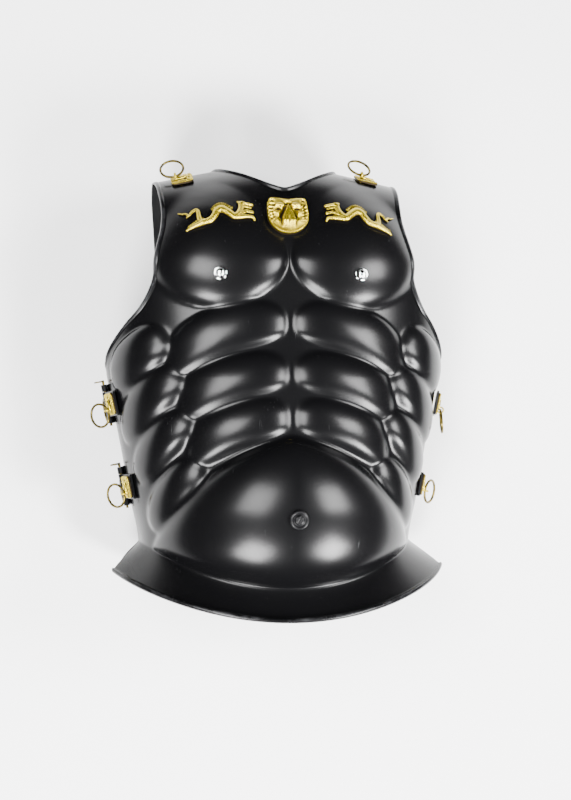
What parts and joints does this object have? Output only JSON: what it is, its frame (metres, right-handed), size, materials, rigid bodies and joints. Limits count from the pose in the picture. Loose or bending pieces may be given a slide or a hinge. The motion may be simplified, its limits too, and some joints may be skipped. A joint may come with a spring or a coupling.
{
  "type": "hinged muscle cuirass with breastplate and backplate",
  "caption": "Embossed black steel breastplate hinged to a plain backplate, with brass lion mask, dragons, ring plaques and pull-out hinge pins, for wearing on the torso.",
  "frame": {"origin": "centre of the bounding box, at the level the back rests on", "axes": "+Y toward the neck, +Z out of the chest, +X toward the wearer's left side, which is at the right seen from the front"},
  "size_m": [0.3984, 0.4996, 0.2536],
  "materials": {
    "black_steel": "satin black, worn to a soft sheen",
    "black_iron": "satin black",
    "brass": "bright cast brass, darker in the recesses",
    "old_brass": "antique brass wire, tarnished",
    "chrome": "polished chrome"
  },
  "bodies": {
    "backplate": {"backplate": "black_steel", "hinge_back_upper": "black_iron", "leaf_back_upper": "black_iron", "hinge_pin_upper": "old_brass", "hinge_back_lower": "black_iron", "leaf_back_lower": "black_iron", "hinge_pin_lower": "old_brass", "plaque_back_upper_left": "brass", "ring_back_upper_left": "old_brass", "plaque_back_upper_right": "brass", "ring_back_upper_right": "old_brass", "plaque_back_lower_left": "brass", "ring_back_lower_left": "old_brass", "plaque_back_lower_right": "brass", "ring_back_lower_right": "old_brass"},
    "breastplate": {"breastplate": "black_steel", "lion_mask": "brass", "dragon_left": "brass", "dragon_right": "brass", "nipple_stud_left": "chrome", "nipple_stud_right": "chrome", "navel_boss": "black_iron", "hinge_front_upper": "black_iron", "leaf_front_upper": "black_iron", "hinge_front_lower": "black_iron", "leaf_front_lower": "black_iron", "plaque_shoulder_left": "brass", "ring_shoulder_left": "old_brass", "plaque_shoulder_right": "brass", "ring_shoulder_right": "old_brass", "plaque_front_upper_left": "brass", "ring_front_upper_left": "old_brass", "plaque_front_upper_right": "brass", "ring_front_upper_right": "old_brass", "plaque_front_lower_left": "brass", "ring_front_lower_left": "old_brass", "plaque_front_lower_right": "brass", "ring_front_lower_right": "old_brass"}
  },
  "joints": [
    {"name": "breastplate_swing", "type": "hinge", "parent": "backplate", "child": "breastplate", "pos_m": [-0.18014, -0.02443, 0.1], "axis": [0.1911, -0.9816, 0], "range_deg": [0, 60]}
  ]
}
